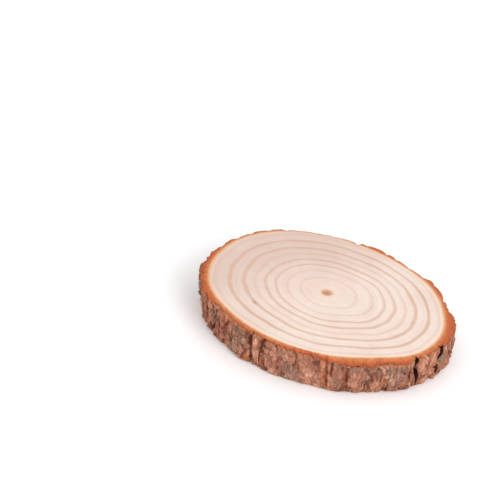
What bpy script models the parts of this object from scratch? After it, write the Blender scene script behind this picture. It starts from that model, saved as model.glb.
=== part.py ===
"""A wood slice: a flat disc sawn across a thin conifer log, with its bark still on."""

import math

import bmesh
import bpy
import numpy as np

# Angles are in degrees, seen from above and counted from +X. Lengths ending in _MM are millimetres.
MM = 0.001

THICKNESS_MM = 10.0

# The saw cut the log a little off square: the underside lies this far towards +X of the top face.
SLANT_MM = 1.6

# Distance of the sawn wood's rim from the pith, in each direction.
WOOD_RIM_MM = (
    (0, 31.0), (20, 30.2), (45, 28.6), (70, 28.6), (90, 30.0), (110, 31.6), (135, 32.4), (160, 32.0),
    (190, 31.1), (213, 29.5), (240, 28.8), (272, 29.4), (296, 30.2), (314, 32.4), (338, 32.4),
)

# Thickness of the bark at the top face.
BARK_MM = (
    (1, 2.5), (14, 2.2), (27, 2.5), (33, 1.6), (46, 1.9), (64, 2.7), (80, 1.7), (98, 1.2), (120, 2.1),
    (150, 2.5), (185, 2.8), (215, 2.4), (245, 2.1), (266, 1.4), (276, 2.0), (300, 2.1), (320, 2.2),
    (345, 3.2), (356, 3.1),
)

# How much thinner the bark is at the underside.
TAPER_MM = (
    (20, 0.8), (70, 0.5), (150, 0.7), (200, 0.2), (250, 0.4), (276, 0.6), (300, 1.2), (325, 1.7), (345, 1.3),
)

# How far the crumbled edge of the outer bark stops short of the top face.
CHIP_MM = (
    (0, 0.4), (30, 0.2), (60, 0.2), (105, 0.15), (150, 0.8), (200, 0.5), (235, 0.9), (262, 0.9), (272, 0.6),
    (282, 1.4), (305, 1.5), (315, 0.7), (330, 0.5),
)

# Furrows of the front: angle at half height, depth, how far the top leans ahead of the foot in degrees,
# and how far the bark plate that follows stands out.
FRONT_FURROWS = (
    (206, 0.9, 6, 0.10),
    (215, 0.6, 4, 0.00),
    (221, 0.5, 3, 0.35),
    (232, 1.0, 1, -0.10),
    (239, 0.7, 4, 0.10),
    (248, 0.3, 1, 0.15),
    (256, 0.3, 1, 0.10),
    (264, 0.3, 0, 0.05),
    (271.5, 0.6, 0, 0.15),
    (281, 0.3, 0, 0.20),
    (289.5, 0.4, 0, 0.20),
    (299.5, 0.4, 0, 0.15),
    (306, 0.3, 0, 0.15),
    (314, 0.9, 0, 0.15),
    (328, 0.9, 5, 0.15),
    (337, 0.8, 3, 0.10),
    (346, 0.5, 1, 0.20),
    (354, 0.7, 0, 0.10),
)

# Furrows of the rest of the way round, spread evenly and then shifted by a seeded draw.
REST_FURROWS = 22
REST_SHIFT_DEG = 2.4
REST_DEPTH_MM = (0.4, 1.2)
REST_LEAN_DEG = (-2, 2)
REST_PLATE_MM = (-0.1, 0.4)
SEED = 11

# A furrow may take this share of the bark's thickness at most.
DEEPEST_FURROW = 0.75

# Bark thinner than this has its plates and furrows in proportion.
FULL_RELIEF_BARK_MM = 2.1

# Columns across a plate, from one furrow's bottom to the next, as shares of the plate's width,
# and the share of the furrow's depth that is left at each.
PLATE_COLUMNS = (
    (0.0, 1.0), (0.07, 0.4), (0.18, 0.12), (0.34, 0.0), (0.5, 0.0), (0.66, 0.0), (0.82, 0.12), (0.93, 0.4),
)

# Rows between the foot of the bark and its crumbled top edge, as shares of that height.
BARK_ROWS = np.array([0.0, 0.05, 0.14, 0.25, 0.36, 0.47, 0.58, 0.69, 0.8, 0.91, 1.0])

FOOT_BEVEL_MM = 0.3     # the worn lower edge
FIBRE_MM = 0.13         # upright ridges of the bark
GRIT_MM = 0.05          # unevenness from row to row
BLOCK_STEP_MM = 0.16    # the height by which a plate steps where it has cracked across
WANDER_DEG = 0.45       # how far a furrow strays sideways
RIM_LIP_MM = 0.2        # least width of the slope from the face down to the crumbled edge
INNER_BARK_SHARE = 0.4  # share of the bark's thickness that is sawn flush with the wood


def around(stations, angles):
    """A smooth closed curve through the (angle, value) stations, read at the given angles."""
    at = np.array([station[0] for station in stations], float)
    value = np.array([station[1] for station in stations], float)
    at = np.concatenate([at - 360, at, at + 360])
    value = np.tile(value, 3)
    slope = np.gradient(value, at)
    angles = np.asarray(angles, float) % 360
    low = np.searchsorted(at, angles, side="right") - 1
    width = at[low + 1] - at[low]
    t = (angles - at[low]) / width
    return (
        (2 * t**3 - 3 * t**2 + 1) * value[low]
        + (t**3 - 2 * t**2 + t) * width * slope[low]
        + (3 * t**2 - 2 * t**3) * value[low + 1]
        + (t**3 - t**2) * width * slope[low + 1]
    )


def furrows(rng):
    """Every furrow in order round the slice, as rows of angle, depth, lean and plate height."""
    first, last = FRONT_FURROWS[0][0], FRONT_FURROWS[-1][0]
    gap = (first + 360 - last) / (REST_FURROWS + 1)
    rows = list(FRONT_FURROWS)
    for number in range(1, REST_FURROWS + 1):
        rows.append(
            (
                last + number * gap + rng.uniform(-REST_SHIFT_DEG, REST_SHIFT_DEG),
                rng.uniform(*REST_DEPTH_MM),
                rng.uniform(*REST_LEAN_DEG),
                rng.uniform(*REST_PLATE_MM),
            )
        )
    return np.array(rows)


def bark_surface(rng):
    """Angle, radius and height of each point of the bark, as arrays of rows by columns."""
    angle, depth, lean, plate = furrows(rng).T
    count = len(angle)
    share, left = np.array(PLATE_COLUMNS).T
    rise = BARK_ROWS[:, None]

    # Each furrow's own line up the bark: it leans, and it wanders a little.
    phase = rng.uniform(0, 2 * math.pi, (2, count))
    waves = rng.uniform(0.6, 3.2, (2, count))
    stray = np.sin(phase[0] + waves[0] * math.pi * rise)
    stray = stray + 0.6 * np.sin(phase[1] + 2 * waves[1] * math.pi * rise)
    line = angle + lean * (rise - 0.5) + WANDER_DEG * stray
    ahead = np.roll(line, -1, axis=1)
    ahead[:, -1] += 360
    turn = line[:, :, None] + (ahead - line)[:, :, None] * share
    turn = turn.reshape(len(BARK_ROWS), -1)

    bark = around(BARK_MM, turn)
    shape = np.abs(np.linspace(1, -1, len(share) + 1)[:-1])
    crown = 1 - shape**4
    carved = (depth[:, None] * left).ravel()
    next_depth = (np.roll(depth, -1)[:, None] * left).ravel()
    carved = np.where(np.tile(share > 0.5, count), next_depth, carved)
    stands = (plate[:, None] * crown).ravel()

    # Plates crack across once, and step out or in there.
    crack = rng.uniform(0.25, 0.75, count)
    step = rng.uniform(-BLOCK_STEP_MM, BLOCK_STEP_MM, count)
    block = np.where(rise > crack, step, -step)
    block = (block[:, :, None] * crown).reshape(turn.shape)

    fibre = rng.normal(0, FIBRE_MM, turn.shape[1])
    grit = rng.normal(0, GRIT_MM, turn.shape)
    relief = stands + block + fibre + grit - carved
    relief = relief * np.minimum(1, bark / FULL_RELIEF_BARK_MM)
    relief = np.maximum(relief, -DEEPEST_FURROW * bark)

    taper = around(TAPER_MM, turn) * (1 - rise) ** 1.5
    radius = around(WOOD_RIM_MM, turn) + bark + relief - taper

    chip = around(CHIP_MM, turn[-1]) * rng.uniform(0.6, 1.3, turn.shape[1])
    height = FOOT_BEVEL_MM + rise * (THICKNESS_MM - chip - FOOT_BEVEL_MM)
    return turn, radius, height


def slice_rings(rng):
    """The rings of points that make the solid, from the underside's rim up to the top face's rim."""
    turn, radius, height = bark_surface(rng)
    foot = (turn[0], radius[0] - FOOT_BEVEL_MM, np.zeros_like(height[0]))
    flush = around(WOOD_RIM_MM, turn[-1]) + INNER_BARK_SHARE * around(BARK_MM, turn[-1])
    rim = (turn[-1], np.minimum(flush, radius[-1] - RIM_LIP_MM), np.full_like(height[0], THICKNESS_MM))
    rings = [foot, *zip(turn, radius, height), rim]
    points = []
    for angles, reach, level in rings:
        drift = SLANT_MM * (1 - level / THICKNESS_MM)
        x = reach * np.cos(np.radians(angles)) + drift
        y = reach * np.sin(np.radians(angles))
        points.append(np.column_stack([x, y, level]))
    return np.array(points)


def centred(rings):
    """The rings and the pith's top end, moved so that the middle of the box stands on the origin."""
    low = rings.min(axis=(0, 1))
    high = rings.max(axis=(0, 1))
    shift = np.array([-(low[0] + high[0]) / 2, -(low[1] + high[1]) / 2, 0.0])
    return rings + shift, shift


def material(name, colour, roughness):
    made = bpy.data.materials.new(name)
    made.use_nodes = True
    shader = made.node_tree.nodes["Principled BSDF"]
    shader.inputs["Base Color"].default_value = (*colour, 1)
    shader.inputs["Roughness"].default_value = roughness
    return made


def build_slice():
    rings, pith = centred(slice_rings(np.random.default_rng(SEED)))
    mesh = bpy.data.meshes.new("wood_slice")
    mesh.materials.append(material("sawn_wood", (0.84, 0.66, 0.47), 0.7))
    mesh.materials.append(material("bark", (0.27, 0.13, 0.08), 0.9))
    bm = bmesh.new()
    grid = [[bm.verts.new(point * MM) for point in ring] for ring in rings]
    for below, above in zip(grid, grid[1:]):
        for column in range(len(below)):
            following = (column + 1) % len(below)
            side = bm.faces.new((below[column], below[following], above[following], above[column]))
            side.material_index = 1
            side.smooth = True
    under_middle = bm.verts.new((pith + (SLANT_MM, 0, 0)) * MM)
    top_middle = bm.verts.new((pith + (0, 0, THICKNESS_MM)) * MM)
    for column in range(len(grid[0])):
        following = (column + 1) % len(grid[0])
        bm.faces.new((under_middle, grid[0][following], grid[0][column]))
        bm.faces.new((top_middle, grid[-1][column], grid[-1][following]))
    bm.to_mesh(mesh)
    bm.free()
    mesh.set_sharp_from_angle(angle=math.radians(35))
    bpy.context.scene.collection.objects.link(bpy.data.objects.new("wood_slice", mesh))


def main():
    for old in list(bpy.data.objects):
        bpy.data.objects.remove(old)
    build_slice()


main()
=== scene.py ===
"""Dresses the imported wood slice: its sawn wood, inner bark, outer bark and the loose bits on the bark."""

import math

import bpy
import numpy as np
from bpy.props import FloatProperty, FloatVectorProperty, IntProperty, PointerProperty
from mathutils import Matrix, Vector
from mathutils.bvhtree import BVHTree


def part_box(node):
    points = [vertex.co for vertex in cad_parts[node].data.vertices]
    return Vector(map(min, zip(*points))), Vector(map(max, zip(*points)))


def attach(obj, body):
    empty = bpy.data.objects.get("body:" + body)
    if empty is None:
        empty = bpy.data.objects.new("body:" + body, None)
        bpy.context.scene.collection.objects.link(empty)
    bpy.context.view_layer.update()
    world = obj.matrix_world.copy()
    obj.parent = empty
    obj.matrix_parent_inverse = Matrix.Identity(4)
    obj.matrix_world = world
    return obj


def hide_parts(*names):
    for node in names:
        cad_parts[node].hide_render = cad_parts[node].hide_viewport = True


bl_info = {
    "name": "Wood Slice",
    "version": (1, 0, 0),
    "blender": (4, 5, 0),
    "location": "3D View > Sidebar > Wood Slice",
    "description": "Makes a sawn wood slice with its growth rings, inner bark and scaly outer bark",
    "category": "Add Mesh",
}

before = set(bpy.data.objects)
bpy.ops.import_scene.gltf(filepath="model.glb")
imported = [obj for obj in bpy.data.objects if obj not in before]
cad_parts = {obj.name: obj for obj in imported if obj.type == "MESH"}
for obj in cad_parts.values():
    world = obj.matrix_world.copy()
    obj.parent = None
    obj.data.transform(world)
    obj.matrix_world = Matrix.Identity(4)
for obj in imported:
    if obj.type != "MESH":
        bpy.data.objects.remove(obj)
CAD_NODE = "wood_slice"
CAD_LOW, CAD_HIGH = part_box(CAD_NODE)
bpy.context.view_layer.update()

# Angles are in degrees, seen from above and counted from +X. Lengths ending in _MM are millimetres.
MM = 0.001
THICKNESS_MM = (CAD_HIGH.z - CAD_LOW.z) / MM

# Where the pith comes out of the two sawn faces: the saw cut the log a little off square.
PITH_TOP_MM = np.array((-0.26, -0.064))
PITH_FOOT_MM = np.array((1.34, -0.064))

# Distance of the wood's rim from the pith, in each direction.
WOOD_RIM_MM = (
    (0, 31.0), (20, 30.2), (45, 28.9), (70, 29.1), (90, 30.4), (110, 31.9), (135, 32.6), (160, 32.0),
    (190, 31.1), (213, 29.5), (240, 28.8), (272, 29.4), (296, 30.2), (314, 32.4), (338, 32.4),
)

# Growth rings: share of the way from pith to rim, how dark the latewood is, and its width.
RINGS = (
    (0.10, 0.12, 0.9), (0.165, 0.20, 1.0), (0.245, 0.40, 1.1), (0.365, 0.46, 1.2), (0.468, 0.78, 1.2),
    (0.556, 0.84, 1.3), (0.650, 0.48, 1.2), (0.738, 0.94, 1.3), (0.856, 1.00, 1.4), (0.958, 0.34, 1.6),
)

# The rings lie further out on one side of the pith: by this share near the pith, and less towards the rim.
RING_LEAN = 0.08
RING_LEAN_DEG = 345

# Height up to which the outer bark reaches. Above it the softer inner bark shows.
CRUST_TOP_MM = (
    (0, 9.3), (14, 9.2), (30, 9.1), (60, 9.0), (105, 9.1), (140, 9.1), (170, 9.3), (200, 9.6), (215, 9.8),
    (235, 9.8), (256, 9.5), (268, 9.6), (276, 9.1), (282, 8.6), (292, 8.5), (300, 8.9), (309, 9.0),
    (314, 9.7), (322, 9.9), (330, 9.8), (338, 9.5), (345, 9.3),
)

# Cracks and furrows in the outer bark: depth, how dark they are (half is maroon, whole is black; the darkness
# is dirt together with painted shade), and for some heights the angle and half the width there.
CRACKS = (
    (0.5, 0.45, ((0.5, 201.8, 0.40), (2.6, 204.6, 0.35))),
    (0.5, 0.50, ((4.2, 207.4, 0.35), (6.0, 207.8, 0.50), (8.2, 207.2, 0.35))),
    (0.4, 0.30, ((4.5, 213.0, 0.35), (8.8, 218.5, 0.60))),
    (0.3, 0.38, ((0.3, 231.6, 0.45), (2.6, 232.0, 0.45), (4.2, 232.3, 0.20), (6.2, 232.2, 0.50),
                 (8.2, 232.6, 0.42), (9.6, 233.8, 0.35))),
    (0.4, 0.50, ((2.0, 236.8, 0.25), (6.0, 238.2, 0.45), (8.0, 239.4, 0.40), (9.6, 240.6, 0.60))),
    (0.2, 0.28, ((1.2, 271.6, 0.30), (5.0, 271.8, 0.38), (9.8, 271.6, 0.38))),
    (0.4, 0.45, ((5.2, 273.4, 0.25), (7.0, 274.1, 0.48), (9.0, 274.6, 0.38))),
    (0.2, 0.30, ((3.6, 281.0, 0.40), (7.8, 281.4, 0.55))),
    (0.3, 0.50, ((8.3, 283.0, 0.40), (8.7, 286.0, 0.90))),
    (0.4, 0.50, ((0.3, 288.9, 0.35), (1.6, 289.2, 0.28), (2.8, 289.7, 0.15))),
    (0.5, 0.50, ((0.4, 299.8, 0.38), (1.6, 300.4, 0.28), (3.0, 300.6, 0.16))),
    (0.2, 0.22, ((4.6, 300.8, 0.20), (6.6, 301.6, 0.30), (8.0, 300.6, 0.30))),
    (0.4, 0.60, ((3.4, 310.4, 0.22), (5.0, 310.2, 0.30), (7.0, 311.4, 0.18))),
    (0.7, 1.00, ((0.5, 316.0, 0.34), (1.6, 315.8, 0.44), (3.4, 315.6, 0.58), (5.0, 314.9, 0.52),
                 (5.9, 314.3, 0.26), (6.4, 314.0, 0.20), (7.6, 314.1, 0.40), (9.0, 314.5, 0.40),
                 (10.4, 315.2, 0.30))),
    (0.6, 1.00, ((4.9, 327.6, 0.50), (5.9, 328.2, 0.72), (7.0, 329.0, 0.92), (8.0, 329.8, 1.10),
                 (9.0, 330.6, 1.20), (9.7, 331.0, 1.00), (10.4, 331.4, 0.70))),
    (0.4, 0.70, ((1.2, 328.8, 0.50), (2.6, 328.6, 0.62), (4.0, 328.0, 0.50), (4.6, 327.8, 0.30))),
    (0.4, 0.65, ((2.4, 342.2, 0.45), (5.0, 341.6, 0.80), (7.8, 342.6, 0.45))),
    (0.6, 0.45, ((1.0, 351.0, 0.30), (8.0, 353.0, 0.35))),
)

# Places of their own on the outer bark: colour, angle, height, half the width in degrees, half the height.
PATCHES = (
    ("grey", 225.5, 8.0, 4.5, 1.6), ("grey", 222.5, 3.4, 3.4, 3.2), ("grey", 228.5, 5.6, 2.6, 1.4),
    ("grey", 205.0, 6.0, 2.0, 3.0), ("grey", 252.0, 8.2, 2.8, 1.0), ("grey", 252.5, 4.5, 3.0, 3.5),
    ("grey", 257.0, 2.0, 3.0, 1.5), ("grey", 286.0, 7.5, 4.6, 1.0), ("grey", 276.5, 4.5, 1.8, 3.5),
    ("grey", 289.5, 4.6, 1.2, 2.6), ("grey", 296.8, 7.3, 2.0, 1.5), ("grey", 301.0, 5.0, 1.6, 4.5),
    ("grey", 306.0, 6.0, 4.4, 3.2), ("grey", 304.0, 2.6, 2.2, 1.8), ("grey", 331.2, 6.2, 3.2, 2.4),
    ("grey", 334.5, 4.0, 2.0, 1.6), ("grey", 344.0, 5.5, 3.5, 3.5),
    ("salmon", 262.5, 4.8, 3.8, 3.4), ("salmon", 266.0, 2.5, 3.0, 2.4), ("salmon", 246.0, 7.2, 2.6, 2.2),
    ("salmon", 235.6, 8.6, 1.6, 1.3), ("salmon", 235.8, 3.2, 1.8, 2.8), ("salmon", 243.0, 2.0, 3.0, 1.6),
    ("salmon", 241.2, 6.0, 1.6, 2.0), ("salmon", 284.2, 3.2, 2.6, 2.4), ("salmon", 294.5, 3.8, 3.0, 2.8),
    ("salmon", 319.5, 7.0, 4.0, 2.8), ("salmon", 322.0, 3.8, 2.8, 2.6), ("salmon", 308.0, 2.6, 1.4, 1.0),
    ("salmon", 215.0, 1.6, 3.0, 1.6), ("salmon", 348.0, 8.0, 3.0, 1.8), ("salmon", 333.0, 8.9, 2.4, 1.0),
    ("salmon", 201.0, 6.5, 2.4, 3.5),
    ("amber", 217.5, 8.0, 1.6, 1.8), ("amber", 270.8, 5.0, 1.6, 6.0), ("amber", 238.2, 6.0, 0.9, 1.6),
    ("amber", 238.5, 1.6, 1.6, 1.4), ("amber", 229.5, 1.4, 1.2, 1.6), ("amber", 198.0, 5.0, 2.0, 6.0),
    ("amber", 322.8, 4.6, 0.8, 2.4), ("amber", 299.5, 3.0, 0.8, 2.0), ("amber", 304.0, 9.1, 5.0, 0.6),
    ("red", 281.0, 5.6, 2.0, 2.6), ("red", 317.0, 3.0, 2.6, 2.0), ("red", 247.5, 4.0, 2.2, 2.0),
    ("red", 292.0, 2.2, 2.0, 1.8), ("red", 213.0, 6.5, 2.4, 2.4), ("red", 266.0, 8.2, 2.6, 1.2),
    ("red", 239.0, 8.6, 1.4, 1.0), ("red", 346.0, 3.0, 3.0, 2.4),
)

# How much redder and darker the inner bark grows towards its lower edge, in each direction.
BAST_RED = (
    (10, 0.5), (90, 0.4), (160, 0.4), (200, 0.1), (230, 0.0), (262, 0.1), (280, 0.3), (290, 0.8), (302, 1.0),
    (311, 0.7), (325, 0.4), (345, 0.6),
)

# A papery curl of bark that stands off the side: angle and height of points along its crest.
CURL_DEG_MM = ((294.6, 8.25), (296.6, 8.65), (298.4, 8.2), (299.0, 7.0), (298.6, 5.9))


def linear(red, green, blue):
    """A colour given as it looks on a screen, 0 to 255, as Blender's linear numbers."""
    shown = np.array((red, green, blue)) / 255
    return tuple(np.where(shown < 0.04045, shown / 12.92, ((shown + 0.055) / 1.055) ** 2.4))


def smoothstep(value, low=0.0, high=1.0):
    share = np.clip((value - low) / (high - low), 0, 1)
    return share * share * (3 - 2 * share)


def around(stations, angles):
    """A smooth closed curve through the (angle, value) stations, read at the given angles."""
    at = np.array([station[0] for station in stations], float)
    value = np.array([station[1] for station in stations], float)
    at = np.concatenate([at - 360, at, at + 360])
    value = np.tile(value, 3)
    slope = np.gradient(value, at)
    angles = np.asarray(angles, float) % 360
    low = np.searchsorted(at, angles, side="right") - 1
    width = at[low + 1] - at[low]
    t = (angles - at[low]) / width
    return (
        (2 * t**3 - 3 * t**2 + 1) * value[low]
        + (t**3 - 2 * t**2 + t) * width * slope[low]
        + (3 * t**2 - 2 * t**3) * value[low + 1]
        + (t**3 - t**2) * width * slope[low + 1]
    )


def pith_at(level_mm):
    """The pith's place in plan at a height, as an array whose last axis is x and y."""
    share = np.asarray(level_mm, float)[..., None] / THICKNESS_MM
    return PITH_FOOT_MM + (PITH_TOP_MM - PITH_FOOT_MM) * share


# Patterns over the bark. turn and rise run from 0 to 1 round it and up its section.


def soft_noise(rng, cells, turn, rise):
    """Smooth noise from -1 to 1 that closes round the slice. cells says how many lie round and up."""
    across, up = cells
    lattice = rng.uniform(-1, 1, (up + 2, across))
    u = turn * across
    v = np.clip(rise, 0, 1) * up
    column = np.floor(u).astype(int)
    row = np.floor(v).astype(int)
    s = smoothstep(u - column)
    t = smoothstep(v - row)
    here = column % across
    following = (column + 1) % across
    low = lattice[row, here] * (1 - s) + lattice[row, following] * s
    high = lattice[row + 1, here] * (1 - s) + lattice[row + 1, following] * s
    return low * (1 - t) + high * t


def scattered_cells(rng, cells, turn, rise):
    """Scales like broken plates: how far inside its scale each point lies, and the scale's own draw."""
    across, up = cells
    seed = rng.uniform(0.08, 0.92, (2, up + 3, across))
    draw = rng.uniform(-1, 1, (up + 3, across))
    u = turn * across
    v = np.clip(rise, 0, 1) * up + 1
    nearest = np.full(u.shape, np.inf)
    second = np.full(u.shape, np.inf)
    own = np.zeros(u.shape)
    for up_step in (-1, 0, 1):
        for side_step in (-1, 0, 1):
            column = np.floor(u).astype(int) + side_step
            row = np.floor(v).astype(int) + up_step
            place = row, column % across
            distance = np.hypot(u - column - seed[0][place], v - row - seed[1][place])
            closer = distance < nearest
            second = np.where(closer, nearest, np.minimum(second, distance))
            own = np.where(closer, draw[place], own)
            nearest = np.where(closer, distance, nearest)
    return second - nearest, own


# The bark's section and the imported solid's surface.

# The section's rows: how many lie on each face beside the wood, and how many up the side.
FOOT_ROWS = 10
SIDE_ROWS = 74
TOP_ROWS = 14
SECTION_INSET_MM = 0.9  # how far inside the wood's rim the section ends on the top face
FOOT_INSET_MM = 1.8     # how far inside it the section starts on the underside
RAY_START_MM = 2.0      # how far inside the wood's rim the rays to the solid start
JOINT_SINK_MM = 0.12    # how far the inner bark lies under the wood where the two overlap
FINE_SIDE_DEG = 278     # the middle of the side with the closest columns
FINE_STEP_MM = 0.145
COARSE_STEP_MM = 0.27
MEAN_RADIUS_MM = 33.0
LEAST_BARK_MM = 0.3     # bark that even the deepest crack leaves over the wood
WOOD_INSET_MM = 0.5     # how far the wood stays inside the bark's outside on both faces

# A furrow lies below the mean of what is this many steps of the given size to each side of it.
FURROW_STEP_DEG = 0.25
FURROW_STEPS = 16


def column_angles():
    """Angles round the slice, closer together on the side with the black cracks."""
    every = np.arange(0, 360, 0.05)
    away = np.abs((every - FINE_SIDE_DEG + 180) % 360 - 180)
    step = FINE_STEP_MM + (COARSE_STEP_MM - FINE_STEP_MM) * smoothstep(away, 82, 112)
    passed = np.cumsum(math.radians(0.05) * MEAN_RADIUS_MM / step)
    count = int(passed[-1])
    return np.interp(np.arange(count) * passed[-1] / count, passed, every)


def section_rows():
    """Each row's share of the way out through the bark, its height, and its distance along the section."""
    foot = [(share, 0.0) for share in np.linspace(0, 1, FOOT_ROWS, endpoint=False)]
    side = [(1.0, level) for level in np.linspace(0, THICKNESS_MM, SIDE_ROWS, endpoint=False)]
    top = [(share, THICKNESS_MM) for share in np.linspace(1, 0, TOP_ROWS)]
    rows = np.array(foot + side + top)
    step = np.hypot(*(np.diff(rows, axis=0) * (2.8, 1.0)).T)
    passed = np.concatenate([[0], np.cumsum(step)])
    return rows, passed / passed[-1]


def cast_to_solid(angles, rows):
    """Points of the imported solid's surface for each row and column of the bark's section."""
    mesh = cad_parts[CAD_NODE].data
    tree = BVHTree.FromPolygons([v.co for v in mesh.vertices], [p.vertices for p in mesh.polygons])
    rim = around(WOOD_RIM_MM, angles)
    middle = np.array((*pith_at(THICKNESS_MM / 2), THICKNESS_MM / 2))
    out = np.column_stack([np.cos(np.radians(angles)), np.sin(np.radians(angles)), np.zeros_like(angles)])
    start = middle + out * (rim - RAY_START_MM)[:, None]
    reach = np.empty(len(angles))
    for column, origin in enumerate(start):
        hit = tree.ray_cast(Vector(origin * MM), Vector(out[column]))[0]
        reach[column] = math.hypot(hit.x / MM - middle[0], hit.y / MM - middle[1])
    points = np.empty((len(rows), len(angles), 3))
    inner = rim - SECTION_INSET_MM
    for row, (share, level) in enumerate(rows):
        start_at = inner if level > 0 else rim - FOOT_INSET_MM
        target = np.array((*pith_at(level), level)) + out * (start_at + share * (reach - start_at))[:, None]
        for column, origin in enumerate(start):
            towards = Vector(target[column] - origin)
            hit = tree.ray_cast(Vector(origin * MM), towards)[0]
            points[row, column] = np.array(hit) / MM if hit else target[column]
    return points


def eased(grid, passes):
    """The grid of points with its facets smoothed out, closed round the slice and open up the section."""
    for _ in range(passes):
        grid = (np.roll(grid, 1, axis=1) + 2 * grid + np.roll(grid, -1, axis=1)) / 4
        grid[1:-1] = (grid[:-2] + 2 * grid[1:-1] + grid[2:]) / 4
    return grid


def outward(grid):
    """Unit normals of a grid of rows by columns that runs anticlockwise and from the foot to the top."""
    round_it = np.roll(grid, -1, axis=1) - np.roll(grid, 1, axis=1)
    along = np.gradient(grid, axis=0)
    normal = np.cross(round_it, along)
    return normal / np.linalg.norm(normal, axis=2, keepdims=True)


class BarkSurface:
    """The bark's section all round the slice, with what grows, cracks and breaks on it."""

    def __init__(self, settings):
        self.angles = column_angles()
        rows, self.passed = section_rows()
        self.points = eased(cast_to_solid(self.angles, rows), 3)
        self.normal = outward(eased(self.points, 4))
        self.level = self.points[:, :, 2]
        plan = self.points[:, :, :2] - pith_at(self.level)
        self.radius = np.hypot(plan[:, :, 0], plan[:, :, 1])
        self.degrees = np.broadcast_to(self.angles, self.level.shape)
        self.turn = self.degrees / 360
        self.rise = np.broadcast_to(self.passed[:, None], self.level.shape)
        self.rim = around(WOOD_RIM_MM, self.angles)
        self.rng = np.random.default_rng(settings.seed)
        self.add_scales()
        self.add_cover(settings)
        self.add_strands()
        self.add_cracks()
        self.add_furrows()
        self.add_colours()
        self.add_relief(settings)
        on_side = 1 - smoothstep(np.abs(self.normal[:, :, 2]), 0.3, 0.7)
        crust_top = around(CRUST_TOP_MM, self.degrees)
        between = smoothstep(self.level, 0.5, 1.4) * (1 - smoothstep(self.level - crust_top, -1.6, -0.9))
        self.whole = smoothstep(self.cover, 0.7, 1.0) * on_side * between * (1 - self.clear)
        self.edge = smoothstep(self.brink, 0.2, 0.7) * (self.cover > 0.5) * (0.3 + 0.7 * on_side)

    def noise(self, across, up, amount=1.0):
        return amount * soft_noise(self.rng, (across, up), self.turn_bent, self.rise_bent)

    def add_scales(self):
        """Scales in three sizes, with edges bent by noise so that none is a plain polygon."""
        self.turn_bent, self.rise_bent = self.turn, self.rise
        sway = self.noise(120, 8, 0.0032) + self.noise(420, 22, 0.0012)
        lift = self.noise(150, 7, 0.030) + self.noise(380, 20, 0.012)
        self.turn_bent, self.rise_bent = (self.turn + sway) % 1.0, np.clip(self.rise + lift, 0, 1)
        sizes = ((64, 4), (150, 8), (330, 15))
        self.scales = [scattered_cells(self.rng, size, self.turn_bent, self.rise_bent) for size in sizes]

    def add_cover(self, settings):
        """Where the outer bark is still there, from 0 to 1, and how near a point is to its broken top."""
        ragged = self.noise(70, 3, 0.28) + self.noise(210, 6, 0.14) + self.noise(600, 14, 0.10)
        ragged = ragged + 0.16 * self.scales[1][1] * smoothstep(self.scales[1][0], 0.0, 0.25)
        edge = around(CRUST_TOP_MM, self.degrees) + ragged
        under_edge = (edge - self.level) / 0.22
        side_row = FOOT_ROWS + int(0.8 * SIDE_ROWS)
        crust = settings.crust / MM
        high = self.level > THICKNESS_MM / 2
        outer = np.where(high, self.radius[side_row], self.radius[FOOT_ROWS])
        width = crust * (1.1 + 0.4 * self.noise(160, 2))
        near_face = np.minimum(self.level, THICKNESS_MM - self.level)
        lip = (self.radius - outer + width) / 0.18 + 12 * smoothstep(near_face, 0.15, 0.6)
        nibble = self.noise(90, 2, 0.5) + self.noise(300, 4, 0.35) - 1.0
        over_foot = (self.level - nibble) / 0.2
        cover = np.minimum(np.minimum(under_edge, lip), over_foot)
        self.cover = smoothstep(cover, -0.5, 0.5)
        self.brink = np.exp(-((cover - 0.8) ** 2) / 1.6) * high
        self.outer = outer

    def add_strands(self):
        """Upright strands and lumps about a millimetre across, from -1 to 1."""
        drift = self.noise(70, 6, 0.004)
        turn = (self.turn_bent + drift) % 1.0
        broad = soft_noise(self.rng, (150, 4), turn, self.rise_bent)
        narrow = soft_noise(self.rng, (330, 6), turn, self.rise_bent)
        lumps = soft_noise(self.rng, (210, 12), self.turn_bent, self.rise_bent)
        self.strands = np.clip(0.75 * broad + 0.6 * narrow + 0.6 * lumps, -1, 1)

    def add_cracks(self):
        # How deep each crack cuts, how dark its dirt and painted shade are, and where loose pieces keep clear
        # of it.
        self.cut = np.zeros_like(self.level)
        self.crack_dirt_and_shade = np.zeros_like(self.level)
        self.clear = np.zeros_like(self.level)
        waver = self.noise(500, 26, 0.10)
        on_side = 1 - smoothstep(np.abs(self.normal[:, :, 2]), 0.35, 0.75)
        into_face = smoothstep(self.radius - self.outer, -0.9, -0.5) * (self.level > THICKNESS_MM / 2)
        on_side = np.maximum(on_side, into_face)
        for depth, darkness, line in CRACKS:
            heights, at, half = np.array(line).T
            centre = np.interp(self.level, heights, at)
            width = np.interp(self.level, heights, half)
            off = ((self.degrees - centre + 180) % 360 - 180) * math.radians(1) * MEAN_RADIUS_MM + waver
            ends = smoothstep(self.level, heights[0] - 0.4, heights[0] + 0.3)
            ends = ends * (1 - smoothstep(self.level, heights[-1] - 0.2, heights[-1] + 0.4))
            shape = np.clip(1 - (off / width) ** 2, 0, 1) * ends * on_side
            self.cut = np.maximum(self.cut, depth * np.sqrt(shape))
            self.crack_dirt_and_shade = np.maximum(self.crack_dirt_and_shade, darkness * smoothstep(shape, 0.0, 0.5))
            self.clear = np.maximum(self.clear, ends * (1 - smoothstep(np.abs(off) - width, 0.45, 0.9)))
        self.cut = np.minimum(self.cut, np.maximum(self.radius - self.rim - LEAST_BARK_MM, 0))

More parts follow.
